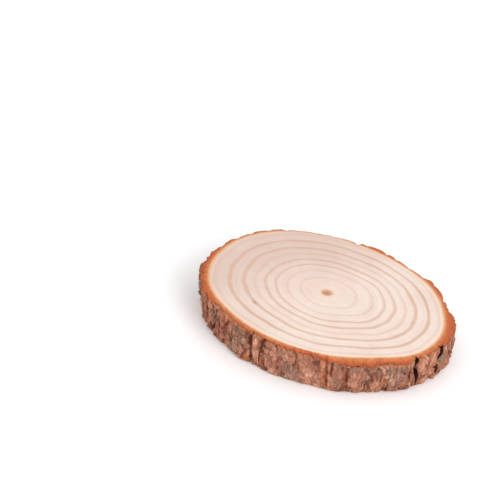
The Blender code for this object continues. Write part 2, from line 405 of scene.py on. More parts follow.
    def add_furrows(self):
        """How far each point lies below the plates round it, from 0 to 1; the outer bark's material paints
        shade there.
        """
        even = np.arange(0, 360, FURROW_STEP_DEG)
        window = np.hanning(2 * FURROW_STEPS + 1)
        window = window / window.sum()
        depth = np.empty_like(self.level)
        for row, radius in enumerate(self.radius):
            level = np.interp(even, self.angles, radius, period=360)
            padded = np.concatenate([level[-FURROW_STEPS:], level, level[:FURROW_STEPS]])
            plates = np.convolve(padded, window, mode="valid")
            depth[row] = np.interp(self.angles, even, plates, period=360) - radius
        self.furrow_shade = smoothstep(depth, 0.05, 0.75)

    def add_colours(self):
        """How far each point leans to each of the bark's colours, from 0 to 1."""
        self.tints = {name: np.zeros_like(self.level) for name in ("grey", "salmon", "amber", "red")}
        ragged = self.noise(260, 12, 0.45) + self.noise(90, 5, 0.30) + 0.25 * self.scales[1][1]
        for name, angle, height, wide, tall in PATCHES:
            off = ((self.degrees - angle + 180) % 360 - 180) / wide
            away = np.hypot(off, (self.level - height) / tall) + ragged
            mask = 1 - smoothstep(away, 0.55, 1.25)
            self.tints[name] = np.maximum(self.tints[name], mask)
        back = smoothstep(np.abs((self.degrees - FINE_SIDE_DEG + 180) % 360 - 180), 75, 95)
        wild = {"grey": (26, 2, 0.10), "salmon": (34, 3, 0.25), "amber": (40, 2, 0.50), "red": (30, 3, 0.30)}
        for name, (across, up, least) in wild.items():
            drift = self.noise(across, up) + self.noise(across * 3, up * 3, 0.5) + 0.4 * ragged
            mask = smoothstep(drift, least, least + 0.5)
            self.tints[name] = np.maximum(self.tints[name] * (1 - back), mask * back)
        # The tone follows the same strands and scale draws that raise the relief, so besides varying at
        # random it paints light on raised places and shade on low ones.
        plates = 0.35 * self.scales[1][1] + 0.2 * self.scales[2][1]
        self.tone = 0.75 * self.strands + plates + self.noise(700, 12, 0.25)

    def add_relief(self, settings):
        """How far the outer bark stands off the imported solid, and how far the inner bark lies under it."""
        (big_in, big), (middle_in, middle), (small_in, small) = self.scales
        share = settings.scale_relief / MM
        scaly = 0.6 * big * smoothstep(big_in, 0.0, 0.18) + 0.75 * middle * smoothstep(middle_in, 0.0, 0.22)
        scaly = scaly + 0.35 * small * smoothstep(small_in, 0.0, 0.3)
        seams = 0.8 * (1 - smoothstep(big_in, 0.0, 0.10)) + 0.7 * (1 - smoothstep(middle_in, 0.0, 0.14))
        seams = seams + 0.25 * (1 - smoothstep(small_in, 0.0, 0.2))
        fibres = self.noise(520, 5, 0.06) + self.noise(950, 9, 0.05) + self.noise(1300, 60, 0.03)
        self.seam = np.clip(seams, 0, 1)
        self.raised = share * (scaly - seams + self.strands) + fibres - self.cut
        crust = settings.crust / MM
        self.crust_off = self.cover * self.raised - (1 - self.cover) * (crust + 0.15)
        self.add_wood_edge()
        fibrous = self.noise(300, 60, 0.03) + self.noise(900, 30, 0.02)
        bare = fibrous * (1 - self.cover) - crust * self.cover - self.cut * (1 - self.cover)
        bare = bare - JOINT_SINK_MM * (1 - smoothstep(self.radius - self.wood_edge, 0.0, 0.15))
        covered = np.where(self.cover > 0.4, self.crust_off - 0.12, np.inf)
        self.bast_off = np.minimum(bare, covered)

    def add_wood_edge(self):
        """Where the wood ends on each face: at its rim, or further in where the bark is thin or cracked."""
        foot_edge = np.max(np.where(self.level < 0.1, self.radius, 0), axis=0)
        top_edge = np.max(np.where(self.level > THICKNESS_MM - 0.1, self.radius, 0), axis=0)
        self.foot_rim = np.minimum(self.rim, foot_edge - WOOD_INSET_MM)
        self.top_rim = np.minimum(self.rim, top_edge - WOOD_INSET_MM)
        high = self.level > THICKNESS_MM / 2
        self.wood_edge = np.where(high, self.top_rim, self.foot_rim)
        self.face_width = np.where(high, top_edge, foot_edge) - self.wood_edge

    def fields(self):
        """What the bark's materials and scattered pieces read at each point, as named arrays."""
        return {
            "furrow_shade": self.furrow_shade, "seam": self.seam, "crack_dirt_and_shade": self.crack_dirt_and_shade, "tone": self.tone,
            "brink": self.brink, "whole": self.whole, "edge": self.edge, **self.tints,
        }

    def moved(self, off):
        """The surface's points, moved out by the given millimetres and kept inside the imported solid's box.

        Points on the two flat faces only sink. Near the foot the side's points move level, so that the
        bark still reaches down to what the slice lies on.
        """
        flat = np.abs(self.normal[:, :, 2]) > 0.9
        way = self.normal.copy()
        way[:, :, 2] *= np.where(flat, 1, smoothstep(self.level, 0.3, 1.2))
        points = self.points + way * np.where(flat, np.minimum(off, 0), off)[:, :, None]
        return np.clip(points, np.array(CAD_LOW) / MM, np.array(CAD_HIGH) / MM)


# Meshes.


def grid_faces(rows, columns, ring):
    """Quads over rows by columns that close round the columns, and round the rows too if it is a ring."""
    last = rows if ring else rows - 1
    row, column = np.meshgrid(np.arange(last), np.arange(columns), indexing="ij")
    above = (row + 1) % rows
    following = (column + 1) % columns
    corners = ((row, column), (row, following), (above, following), (above, column))
    return np.stack([along * columns + across for along, across in corners], axis=-1).reshape(-1, 4)


def mesh_object(name, points_mm, faces, fields, material):
    """A smooth-shaded object at the origin with its fields stored as point attributes."""
    mesh = bpy.data.meshes.new(name)
    mesh.from_pydata((points_mm * MM).tolist(), [], faces)
    for field, values in fields.items():
        vector = np.ndim(values) == 2
        made = mesh.attributes.new(field, "FLOAT_VECTOR" if vector else "FLOAT", "POINT")
        made.data.foreach_set("vector" if vector else "value", np.asarray(values, np.float32).ravel())
    mesh.materials.append(material)
    mesh.shade_smooth()
    made = bpy.data.objects.new(name, mesh)
    bpy.context.scene.collection.objects.link(made)
    return made


def on_the_slice(piece):
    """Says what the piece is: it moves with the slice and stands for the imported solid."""
    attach(piece, "root")
    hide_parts(CAD_NODE)


# Nodes.


class Graph:
    """Adds nodes to one tree, and sets or joins their inputs in the same line."""

    def __init__(self, tree):
        self.tree = tree

    def set(self, socket, value):
        if isinstance(value, bpy.types.NodeSocket):
            self.tree.links.new(value, socket)
        elif socket.type == "RGBA" and len(value) == 3:
            socket.default_value = (*value, 1)
        else:
            socket.default_value = value

    def add(self, kind, inputs=(), **settings):
        made = self.tree.nodes.new(kind)
        for name, value in settings.items():
            setattr(made, name, value)
        for name, value in dict(inputs).items():
            self.set(made.inputs[name], value)
        return made

    def field(self, name):
        return self.add("ShaderNodeAttribute", attribute_name=name).outputs["Fac"]

    def place(self):
        return self.add("ShaderNodeTexCoord").outputs["Object"]

    def math(self, operation, first, second=0.0, clamp=False):
        made = self.add("ShaderNodeMath", operation=operation, use_clamp=clamp)
        self.set(made.inputs[0], first)
        self.set(made.inputs[1], second)
        return made.outputs[0]

    def spread(self, value, low, high, to_low=0.0, to_high=1.0):
        inputs = {"Value": value, "From Min": low, "From Max": high, "To Min": to_low, "To Max": to_high}
        return self.add("ShaderNodeMapRange", inputs).outputs["Result"]

    def between(self, mask, low, high):
        """A mask that runs from 0 to 1, as a number that runs from low to high."""
        return self.spread(mask, 0.0, 1.0, low, high)

    def product(self, first, second, clamp=False):
        return self.math("MULTIPLY", first, second, clamp)

    def total(self, *parts):
        """The sum of the (value, weight) parts."""
        values = [value if weight == 1 else self.product(value, weight) for value, weight in parts]
        summed = values[0]
        for value in values[1:]:
            summed = self.math("ADD", summed, value)
        return summed

    def vector(self, operation, first, second):
        made = self.add("ShaderNodeVectorMath", operation=operation)
        self.set(made.inputs[0], first)
        self.set(made.inputs[1], second)
        return made.outputs[0]

    def random(self, kind, low, high, seed):
        """A random number or vector for each element, from low to high. kind is FLOAT or FLOAT_VECTOR."""
        made = self.add("FunctionNodeRandomValue", {"Seed": seed}, data_type=kind)
        first = 0 if kind == "FLOAT_VECTOR" else 2
        self.set(made.inputs[first], low)
        self.set(made.inputs[first + 1], high)
        return made.outputs[first // 2]

    def mix(self, share, first, second, how="MIX"):
        made = self.add("ShaderNodeMix", data_type="RGBA", blend_type=how)
        self.set(made.inputs[0], share)
        self.set(made.inputs[6], first)
        self.set(made.inputs[7], second)
        return made.outputs[2]

    def group(self, name, inputs):
        """The outputs of a shared group placed in this tree. The group is built when it is first used."""
        if name not in bpy.data.node_groups:
            SHARED_GROUPS[name]()
        made = self.add("ShaderNodeGroup", node_tree=bpy.data.node_groups[name])
        for socket, value in inputs.items():
            self.set(made.inputs[socket], value)
        return made.outputs

    def speckle(self, where, size, least=0.35, most=0.65):
        inputs = {"Vector": where, "Size": size, "Least": least, "Most": most}
        return self.group("speckle", inputs)["Mask"]

    def streaks(self, where, size, stretch):
        """The mask and the height of upright fibres."""
        made = self.group("streaks", {"Vector": where, "Size": size, "Stretch": stretch})
        return made["Mask"], made["Height"]


def new_group(name, inputs, outputs, tree_type="ShaderNodeTree"):
    """The graph of an empty node group with the named sockets, with its input and output sockets."""
    tree = bpy.data.node_groups.new(name, tree_type)
    for socket, (kind, default) in inputs.items():
        made = tree.interface.new_socket(socket, in_out="INPUT", socket_type=kind)
        if default is not None:
            made.default_value = default
    for socket, kind in outputs.items():
        tree.interface.new_socket(socket, in_out="OUTPUT", socket_type=kind)
    graph = Graph(tree)
    return graph, graph.add("NodeGroupInput").outputs, graph.add("NodeGroupOutput").inputs


def speckle_group():
    """Fine uneven mottling, as a mask from 0 to 1."""
    given = {
        "Vector": ("NodeSocketVector", None), "Size": ("NodeSocketFloat", 1000.0),
        "Least": ("NodeSocketFloat", 0.4), "Most": ("NodeSocketFloat", 0.6),
    }
    graph, given, out = new_group("speckle", given, {"Mask": "NodeSocketFloat"})
    inputs = {"Vector": given["Vector"], "Scale": given["Size"], "Detail": 5.0, "Roughness": 0.6}
    noise = graph.add("ShaderNodeTexNoise", inputs)
    graph.set(out["Mask"], graph.spread(noise.outputs["Fac"], given["Least"], given["Most"]))


def streaks_group():
    """Bark fibres that run up and down: a mask for colour and a height for relief."""
    given = {
        "Vector": ("NodeSocketVector", None), "Size": ("NodeSocketFloat", 1500.0),
        "Stretch": ("NodeSocketFloat", 0.2),
    }
    graph, given, out = new_group("streaks", given, {"Mask": "NodeSocketFloat", "Height": "NodeSocketFloat"})
    scale = graph.add("ShaderNodeCombineXYZ", {"X": 1.0, "Y": 1.0, "Z": given["Stretch"]}).outputs[0]
    where = graph.vector("MULTIPLY", given["Vector"], scale)
    inputs = {"Vector": where, "Scale": given["Size"], "Detail": 6.0, "Roughness": 0.65}
    coarse = graph.add("ShaderNodeTexNoise", inputs).outputs["Fac"]
    inputs = {"Vector": where, "Scale": graph.product(given["Size"], 2.7), "Detail": 3.0}
    fine = graph.add("ShaderNodeTexNoise", inputs).outputs["Fac"]
    both = graph.total((coarse, 0.7), (fine, 0.3))
    graph.set(out["Mask"], graph.spread(both, 0.34, 0.66))
    graph.set(out["Height"], both)


SHARED_GROUPS = {"speckle": speckle_group, "streaks": streaks_group}


def new_material(name, gloss=0.5):
    """A material with its graph and its Principled BSDF. gloss is its specular level."""
    made = bpy.data.materials.new(name)
    made.use_nodes = True
    shader = made.node_tree.nodes["Principled BSDF"]
    shader.inputs["Specular IOR Level"].default_value = gloss
    return made, Graph(made.node_tree), shader


def growth_rings_ramp(graph, share):
    """A ramp from the pith to the rim that rises at each ring's latewood and drops sharply outside it."""
    ramp = graph.add("ShaderNodeValToRGB", {"Fac": share})
    ramp.color_ramp.interpolation = "EASE"
    stops = []
    for at, strength, width in RINGS:
        reach = width / MEAN_RADIUS_MM
        stops += [(at - 0.8 * reach, 0.0), (at, strength), (at + 0.6 * reach, 0.0)]
    elements = ramp.color_ramp.elements
    elements[0].position, elements[1].position = stops[0][0], stops[-1][0]
    for place, value in stops[1:-1]:
        elements.new(place).color = (value, value, value, 1)
    for element in (elements[0], elements[-1]):
        element.color = (0, 0, 0, 1)
    return ramp.outputs["Color"]


BARK_GLOSS = 0.15


def finish_material(graph, shader, colour, roughness, height, strength, depth):
    """Joins a colour and a roughness to the shader, with a bump made from the height, depth metres deep."""
    graph.set(shader.inputs["Base Color"], colour)
    graph.set(shader.inputs["Roughness"], roughness)
    bump = graph.add("ShaderNodeBump", {"Strength": strength, "Distance": depth, "Height": height})
    graph.set(shader.inputs["Normal"], bump.outputs["Normal"])


def sawn_wood_material(settings):
    """End grain: cream earlywood, tan latewood rings, faint rays, the brown pith and the pale rim."""
    made, graph, shader = new_material("sawn_wood")
    where = graph.place()
    share = graph.field("ring_share")
    waver = graph.add("ShaderNodeTexNoise", {"Vector": where, "Scale": 105.0, "Detail": 1.0}).outputs["Fac"]
    bent = graph.math("ADD", share, graph.spread(waver, 0.3, 0.7, -0.011, 0.011))
    rings = growth_rings_ramp(graph, bent)
    patchy = graph.speckle(where, 75.0, 0.3, 0.7)
    mottle = graph.speckle(where, 420.0, 0.3, 0.7)
    fibre = graph.speckle(where, 2600.0, 0.3, 0.7)
    late = graph.product(rings, graph.between(patchy, 0.6, 1.1))
    late = graph.product(late, graph.between(fibre, 0.8, 1.15), clamp=True)

    # Rays: noise that changes quickly round the pith and slowly outwards.
    from_pith = graph.add("ShaderNodeAttribute", attribute_name="from_pith").outputs["Vector"]
    ray = graph.add("ShaderNodeTexNoise", {"Vector": from_pith, "Scale": 26.0, "Detail": 4.0})
    ray_mask = graph.spread(ray.outputs["Fac"], 0.38, 0.62)

    # Faint bands between the rings: noise that changes only on the way out from the pith.
    band = graph.add("ShaderNodeTexNoise", {"W": bent, "Scale": 34.0, "Detail": 2.0}, noise_dimensions="1D")
    bands = graph.spread(band.outputs["Fac"], 0.42, 0.66)

    # Pinker patches at random, and towards the back left a gradient that is partly the wood's own blush and
    # partly painted shade.
    blush_and_shade = graph.math("ADD", graph.between(patchy, -0.25, 0.35), graph.field("blush_and_shade"), clamp=True)
    early = graph.mix(blush_and_shade, settings.early_colour, settings.blush_colour)
    early = graph.mix(graph.product(bands, 0.14), early, settings.late_colour)
    colour = graph.mix(late, early, settings.late_colour)
    for mask, strength in ((ray_mask, 0.08), (fibre, 0.09), (mottle, 0.10)):
        colour = graph.mix(graph.between(mask, strength, 0.0), colour, settings.late_colour)
    colour = graph.mix(graph.product(graph.field("fleck"), 0.8), colour, settings.pith_colour)
    rim = graph.spread(share, 0.984, 0.992)
    colour = graph.mix(graph.product(rim, 0.8), colour, settings.cambium_colour)
    colour = graph.mix(graph.product(graph.field("halo"), 0.5), colour, settings.cambium_colour)
    pith = graph.product(graph.field("pith"), graph.between(fibre, 0.75, 1.0))
    colour = graph.mix(pith, colour, settings.pith_colour)

    # Fine relief: pores, rays, the saw's shallow parallel marks and the harder latewood.
    inputs = {"Vector": where, "Scale": 240.0, "Distortion": 3.0, "Detail": 3.0}
    saw = graph.add("ShaderNodeTexWave", inputs, bands_direction="DIAGONAL").outputs["Fac"]
    height = graph.total((fibre, 0.6), (ray_mask, 0.25), (saw, 0.25), (late, 0.2))
    finish_material(graph, shader, colour, graph.between(fibre, 0.62, 0.78), height, 0.35, 0.06 * MM)
    return made


def inner_bark_material(settings):
    """Soft orange bast: paler against the wood, redder and darker outwards, and fibrous."""
    made, graph, shader = new_material("inner_bark", gloss=BARK_GLOSS)
    where = graph.place()
    across = graph.field("across")
    streaks, streak_height = graph.streaks(where, 1300.0, 0.5)
    fine = graph.speckle(where, 3800.0)
    broad = graph.speckle(where, 300.0)
    lumps = graph.speckle(where, 800.0, 0.4, 0.62)
    outwards = graph.math("ADD", across, graph.between(broad, -0.25, 0.25))
    colour = graph.mix(graph.spread(outwards, 0.45, 1.0), settings.bast_colour, settings.bast_dark_colour)
    colour = graph.mix(graph.between(lumps, 0.55, 0.0), colour, settings.bast_dark_colour)
    colour = graph.mix(graph.between(streaks, 0.45, 0.0), colour, settings.bast_dark_colour)
    colour = graph.mix(1.0, colour, graph.between(broad, 0.86, 1.14), how="MULTIPLY")
    colour = graph.mix(graph.between(fine, 0.20, 0.0), colour, settings.furrow_colour)
    red = graph.product(graph.field("red"), graph.spread(streaks, 0.25, 0.75, 0.5, 0.05))
    colour = graph.mix(red, colour, settings.furrow_colour)
    from_wood = graph.math("ADD", across, graph.between(streaks, -0.1, 0.1))
    colour = graph.mix(graph.spread(from_wood, 0.04, 0.42, 0.9, 0.0), colour, settings.cambium_colour)
    # Dirt and painted shade down in the cracks.
    colour = graph.mix(graph.spread(graph.field("crack_dirt_and_shade"), 0.1, 0.5), colour, settings.furrow_colour)
    colour = graph.mix(graph.spread(graph.field("crack_dirt_and_shade"), 0.55, 0.9), colour, settings.crack_colour)
    height = graph.total((streak_height, 1), (fine, 0.4), (lumps, 0.3))
    finish_material(graph, shader, colour, graph.between(fine, 0.7, 0.85), height, 0.7, 0.2 * MM)
    return made


def outer_bark_material(settings):
    """Scaly bark: red-brown with grey, salmon and amber places, dark furrows and black cracks."""
    made, graph, shader = new_material("outer_bark", gloss=BARK_GLOSS)
    where = graph.place()
    tone = graph.field("tone")
    streaks, streak_height = graph.streaks(where, 1300.0, 0.3)
    fine = graph.speckle(where, 4200.0)
    broad = graph.speckle(where, 480.0, 0.38, 0.62)
    colour = graph.mix(graph.between(broad, 0.0, 0.7), settings.bark_colour, settings.red_colour)
    for name, tint in (
        ("red", settings.red_colour),
        ("grey", settings.grey_colour),
        ("salmon", settings.salmon_colour),
        ("amber", settings.amber_colour),
    ):
        share = graph.product(graph.field(name), graph.between(streaks, 0.45, 1.0))
        colour = graph.mix(share, colour, tint)
    dusty = graph.speckle(where, 850.0, 0.45, 0.65)
    colour = graph.mix(graph.product(dusty, 0.35), colour, settings.grey_colour)

    # Light and shade from scale to scale and from fibre to fibre.
    shade = graph.product(graph.spread(tone, -1.0, 1.0, 0.62, 1.34), graph.between(streaks, 0.72, 1.28))
    shade = graph.math("ADD", shade, graph.between(fine, -0.12, 0.12))
    colour = graph.mix(1.0, colour, shade, how="MULTIPLY")
    # Painted highlight on the raised strands, partly pale fibres of their own.
    pale_and_highlight = graph.product(graph.spread(streaks, 0.62, 0.95), graph.spread(tone, 0.1, 0.7, 0.1, 0.6))
    colour = graph.mix(pale_and_highlight, colour, settings.pale_colour)
    # Painted shade in the low pits between the raised strands.
    pits_shade = graph.product(graph.spread(tone, -0.75, -0.25, 0.65, 0.0), graph.between(fine, 1.0, 0.7))
    colour = graph.mix(pits_shade, colour, settings.furrow_colour)
    colour = graph.mix(graph.product(graph.field("seam"), 0.35), colour, settings.furrow_colour)
    # Painted shade down in the furrows, weaker where amber shows.
    furrow_shade_share = graph.spread(graph.field("amber"), 0.3, 0.9, 0.5, 0.1)
    colour = graph.mix(graph.product(graph.field("furrow_shade"), furrow_shade_share), colour, settings.furrow_colour)
    brink = graph.product(graph.field("brink"), graph.between(broad, 0.2, 0.7))
    colour = graph.mix(brink, colour, settings.amber_colour)
    # Dirt and painted shade down in the cracks.
    colour = graph.mix(graph.spread(graph.field("crack_dirt_and_shade"), 0.0, 0.6), colour, settings.furrow_colour)
    colour = graph.mix(graph.spread(graph.field("crack_dirt_and_shade"), 0.55, 0.9), colour, settings.crack_colour)
    height = graph.total((streak_height, 1), (fine, 0.35))
    finish_material(graph, shader, colour, graph.between(fine, 0.78, 0.92), height, 0.9, 0.3 * MM)
    return made


def torn_bark_material(settings):
    """Torn fibres and curls: pale at their crests, partly as dry bark and partly as a painted highlight, and
    browner between.
    """
    made, graph, shader = new_material("torn_bark", gloss=BARK_GLOSS)
    where = graph.place()
    streaks, streak_height = graph.streaks(where, 1800.0, 0.4)
    fine = graph.speckle(where, 4200.0)
    # Dry pale fibres at random, and on the curl a painted highlight at its crest.
    dry_and_lit = graph.product(graph.spread(graph.field("tone"), -0.8, 0.8, 0.0, 0.6), streaks)
    colour = graph.mix(dry_and_lit, settings.salmon_colour, settings.pale_colour)
    colour = graph.mix(graph.between(fine, 0.4, 0.0), colour, settings.red_colour)
    finish_material(graph, shader, colour, graph.between(fine, 0.75, 0.9), streak_height, 0.6, 0.1 * MM)
    return made


def shared_material(maker, settings):
    """The bark material that this function makes, made when it is first used."""
    name = maker.__name__.removesuffix("_material")
    return bpy.data.materials.get(name) or maker(settings)


# Geometry node trees: what is scattered over the bark.

SURFACE_SOCKETS = {
    "Geometry": ("NodeSocketGeometry", None), "Density": ("NodeSocketFloat", 1.0),
    "Width": ("NodeSocketFloat", 0.001), "Length": ("NodeSocketFloat", 0.001),
    "Seed": ("NodeSocketInt", 1), "Material": ("NodeSocketMaterial", None),
}


# How far a copy's three sizes may stray from the named ones.
LEAST_SIZE = (0.5, 0.5, 0.7)
MOST_SIZE = (1.3, 1.3, 1.2)
SIZE_SEED = 7
TONE_SEED = 3


def scattered(graph, given, shape, where, turn, sizes, tone):
    """Copies of a shape on the surface, as dense as the named field, in varied turns, sizes and tones."""
    inputs = {"Name": where}
    dense = graph.add("GeometryNodeInputNamedAttribute", inputs, data_type="FLOAT").outputs["Attribute"]
    inputs = {
        "Mesh": given["Geometry"], "Density": graph.product(given["Density"], dense), "Seed": given["Seed"],
    }
    points = graph.add("GeometryNodeDistributePointsOnFaces", inputs)
    axes, (least_turn, most_turn) = turn(points.outputs["Normal"])
    upright = graph.add("FunctionNodeAxesToRotation", axes, primary_axis="Z", secondary_axis="Y").outputs[0]
    tilt = graph.random("FLOAT_VECTOR", least_turn, most_turn, given["Seed"])
    tilt = graph.add("FunctionNodeEulerToRotation", {"Euler": tilt}).outputs[0]
    inputs = {"Rotation": upright, "Rotate By": tilt}
    rotation = graph.add("FunctionNodeRotateRotation", inputs, rotation_space="LOCAL").outputs[0]
    scale = graph.add("ShaderNodeCombineXYZ", sizes).outputs[0]
    scale = graph.vector("MULTIPLY", scale, graph.random("FLOAT_VECTOR", LEAST_SIZE, MOST_SIZE, SIZE_SEED))
    inputs = {"Points": points.outputs["Points"], "Instance": shape, "Rotation": rotation, "Scale": scale}
    copies = graph.add("GeometryNodeInstanceOnPoints", inputs).outputs[0]
    inputs = {"Geometry": copies, "Name": "tone", "Value": graph.random("FLOAT", *tone, TONE_SEED)}
    toned = graph.add("GeometryNodeStoreNamedAttribute", inputs, data_type="FLOAT", domain="INSTANCE")
    return graph.add("GeometryNodeRealizeInstances", {"Geometry": toned.outputs[0]}).outputs[0]


def set_material(graph, given, out, geometry):
    """Ends a tree with its material."""
    inputs = {"Geometry": geometry, "Material": given["Material"]}
    graph.set(out["Geometry"], graph.add("GeometryNodeSetMaterial", inputs).outputs[0])


def bark_scales_tree():
    """Thin scales like curled paper, all over the bark where it is whole."""
    own = {
        "Thickness": ("NodeSocketFloat", 0.0001), "Curl": ("NodeSocketFloat", 1.0),
        "Ragged": ("NodeSocketFloat", 0.0),
    }
    graph, given, out = new_group(
        "bark_scales", {**SURFACE_SOCKETS, **own}, {"Geometry": "NodeSocketGeometry"}, "GeometryNodeTree"
    )
    inputs = {"Vertices": 9, "Side Segments": 1, "Fill Segments": 2, "Radius": 0.5, "Depth": 1.0}
    disc = graph.add("GeometryNodeMeshCylinder", inputs, fill_type="TRIANGLE_FAN").outputs["Mesh"]
    place = graph.add("GeometryNodeInputPosition").outputs[0]
    flat = graph.vector("MULTIPLY", place, (1.0, 1.0, 0.0))
    out_by = graph.add("ShaderNodeVectorMath", {"Vector": flat}, operation="LENGTH").outputs["Value"]
    rise = graph.product(graph.math("POWER", out_by, 2.0), graph.product(given["Curl"], 4.0))
    offset = graph.add("ShaderNodeCombineXYZ", {"Z": rise}).outputs[0]
    scale = graph.add("GeometryNodeSetPosition", {"Geometry": disc, "Offset": offset}).outputs[0]

    def turn(normal):
        axes = {"Primary Axis": normal, "Secondary Axis": (0, 0, 1)}
        return axes, ((-0.12, -0.08, -0.6), (0.04, 0.08, 0.6))

    sizes = {"X": given["Width"], "Y": given["Length"], "Z": given["Thickness"]}
    grown = scattered(graph, given, scale, "whole", turn, sizes, (-0.5, 0.6))

    # Noise from place to place makes each outline ragged.
    place = graph.add("GeometryNodeInputPosition").outputs[0]
    noise = graph.add("ShaderNodeTexNoise", {"Vector": place, "Scale": 1100.0, "Detail": 1.0})
    shift = graph.vector("SUBTRACT", noise.outputs["Color"], (0.5, 0.5, 0.5))
    amount = graph.add("ShaderNodeCombineXYZ", {axis: given["Ragged"] for axis in "XYZ"}).outputs[0]
    inputs = {"Geometry": grown, "Offset": graph.vector("MULTIPLY", shift, amount)}
    set_material(graph, given, out, graph.add("GeometryNodeSetPosition", inputs).outputs[0])
    return graph.tree


def torn_fibres_tree():
    """Short bent fibres that stand up from the crust's broken top edge."""
    own = {"Bend": ("NodeSocketFloat", 0.5)}
    graph, given, out = new_group(
        "torn_fibres", {**SURFACE_SOCKETS, **own}, {"Geometry": "NodeSocketGeometry"}, "GeometryNodeTree"
    )
    inputs = {"Vertices": 5, "Side Segments": 3, "Radius Top": 0.12, "Radius Bottom": 0.5, "Depth": 1.0}
    cone = graph.add("GeometryNodeMeshCone", inputs, fill_type="TRIANGLE_FAN").outputs["Mesh"]
    place = graph.add("GeometryNodeInputPosition").outputs[0]
    up = graph.add("ShaderNodeSeparateXYZ", {"Vector": place}).outputs["Z"]
    bend = graph.product(graph.product(up, up), given["Bend"])
    offset = graph.add("ShaderNodeCombineXYZ", {"X": bend}).outputs[0]
    fibre = graph.add("GeometryNodeSetPosition", {"Geometry": cone, "Offset": offset}).outputs[0]

    def turn(normal):
        return {"Primary Axis": (0, 0, 1), "Secondary Axis": normal}, ((-0.9, -0.6, -0.4), (0.3, 0.6, 0.4))

    sizes = {"X": given["Width"], "Y": given["Width"], "Z": given["Length"]}
    set_material(graph, given, out, scattered(graph, given, fibre, "edge", turn, sizes, (-0.8, 0.8)))
    return graph.tree


def grown_piece(name, base, tree, inputs):
    """What the tree grows on the base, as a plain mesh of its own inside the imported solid's box."""
    modifier = base.modifiers.new(name, "NODES")
    modifier.node_group = tree
    for item in tree.interface.items_tree:
        if item.in_out == "INPUT" and item.name in inputs:
            modifier[item.identifier] = inputs[item.name]
    ready = base.evaluated_get(bpy.context.evaluated_depsgraph_get())
    mesh = bpy.data.meshes.new_from_object(ready)
    base.modifiers.remove(modifier)
    bpy.data.objects.remove(base)
    mesh.name = name
    points = np.empty(len(mesh.vertices) * 3, np.float32)
    mesh.vertices.foreach_get("co", points)
    inside = np.clip(points.reshape(-1, 3), np.array(CAD_LOW), np.array(CAD_HIGH))
    mesh.vertices.foreach_set("co", inside.ravel())
    mesh.update()
    piece = bpy.data.objects.new(name, mesh)
    bpy.context.scene.collection.objects.link(piece)
    return piece


# Settings that a user may change.


class StageSettings(bpy.types.PropertyGroup):
    """The camera, the light and the floor."""

    pitch: FloatProperty(
        name="Pitch", description="How far down the camera looks", default=math.radians(30), subtype="ANGLE"
    )
    roll: FloatProperty(
        name="Roll", description="How far the camera is turned about its own axis",
        default=math.radians(9), subtype="ANGLE",
    )
    lens: FloatProperty(
        name="Lens", description="Focal length on a 36 mm sensor", default=103.68, unit="CAMERA"
    )
    floor: FloatProperty(name="Floor", description="Length of the floor's sides", default=5.0, unit="LENGTH")
    key_power: FloatProperty(
        name="Key light", description="Power of the soft light at the front right", default=2.4, unit="POWER"
    )
    fill_power: FloatProperty(
        name="Fill light", description="Power of the soft light at the front left", default=0.6, unit="POWER"
    )
    sky: FloatProperty(name="Sky", description="Strength of the light from all round", default=0.92, min=0)
    floor_colour: FloatVectorProperty(
        name="Floor colour", description="Colour of the floor", default=(0.98, 0.98, 0.98), subtype="COLOR"
    )


class WoodSettings(bpy.types.PropertyGroup):
    """The sawn wood."""

    ring_relief: FloatProperty(
        name="Ring relief", description="How far the hard latewood stands proud",
        default=0.015 * MM, unit="LENGTH",
    )
    pith_depth: FloatProperty(
        name="Pith depth", description="How far the pith has shrunk below the face",
        default=0.25 * MM, unit="LENGTH",
    )
    early_colour: FloatVectorProperty(
        name="Earlywood", description="Colour of the wide pale part of a ring",
        default=linear(235, 219, 208), subtype="COLOR",
    )
    # This colour is also the painted shade towards the back left of the faces.
    blush_colour: FloatVectorProperty(
        name="Blush", description="Colour of the pinker patches of the earlywood",
        default=linear(216, 193, 182), subtype="COLOR",
    )
    late_colour: FloatVectorProperty(
        name="Latewood", description="Colour of a ring's dark line",
        default=linear(206, 166, 143), subtype="COLOR",
    )
    cambium_colour: FloatVectorProperty(
        name="Cambium", description="Colour of the thin line between wood and bark",
        default=linear(236, 198, 164), subtype="COLOR",
    )
    pith_colour: FloatVectorProperty(
        name="Pith", description="Colour of the pith", default=linear(182, 120, 82), subtype="COLOR"
    )


